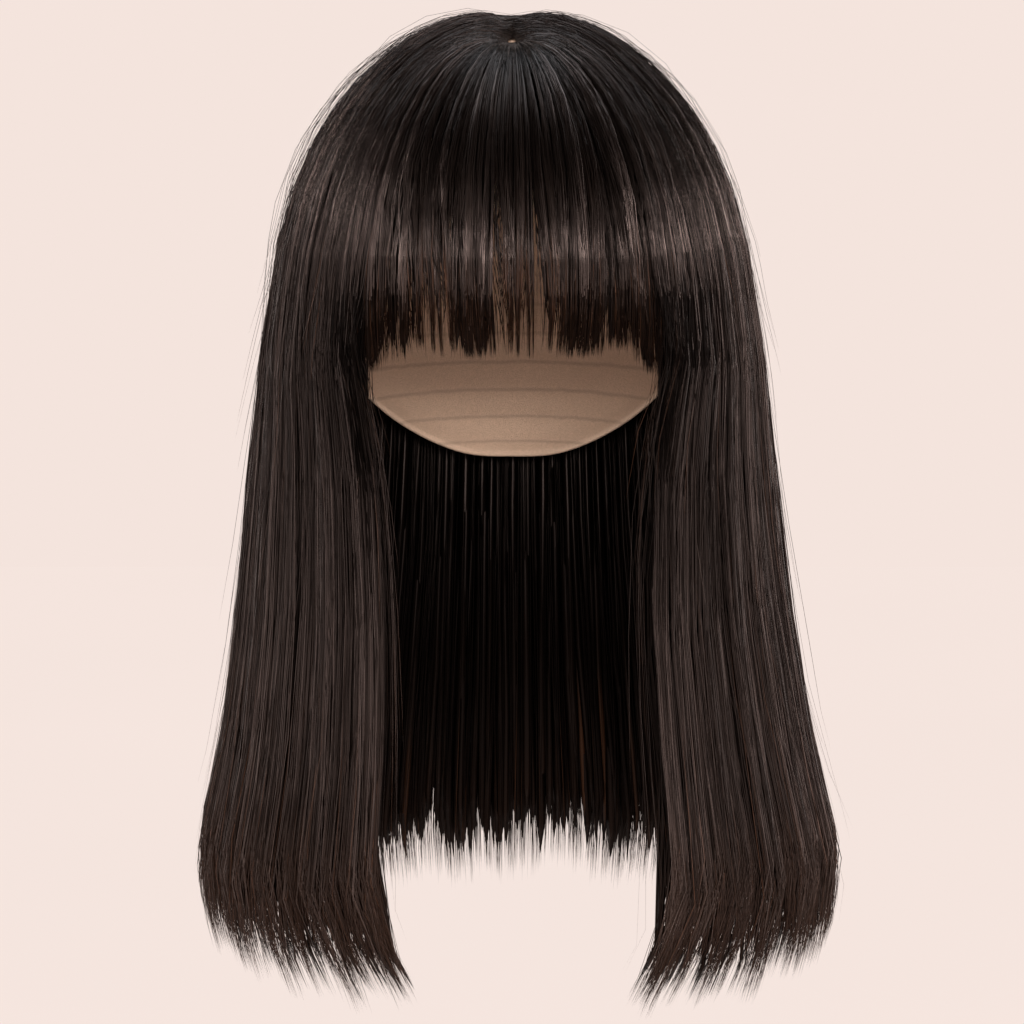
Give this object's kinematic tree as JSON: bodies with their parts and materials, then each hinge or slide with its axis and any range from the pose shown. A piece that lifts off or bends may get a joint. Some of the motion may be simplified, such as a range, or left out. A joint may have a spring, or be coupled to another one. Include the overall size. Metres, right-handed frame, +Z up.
{
  "type": "wig",
  "caption": "Long straight dark wig with a full fringe: a hollow net cap, a parting patch on the crown, and hair that falls in straight locks to chest length.",
  "frame": {"origin": "where the top of the wearer's head meets the inside of the cap", "axes": "+Z up out of the top of the head, -Y towards the fringe and the wearer's front, +X towards the wearer's left"},
  "size_m": [0.2608, 0.2209, 0.391],
  "materials": {
    "hair": "smooth dark brown to black fibre with a soft sheen",
    "cap_net": "matte beige stretch net",
    "parting_skin": "matte skin-coloured parting cloth"
  },
  "bodies": {
    "root": {"cap": "cap_net", "parting_patch": "parting_skin", "fringe": "hair", "side_hair_left": "hair", "side_hair_right": "hair", "back_hair": "hair"}
  },
  "joints": []
}
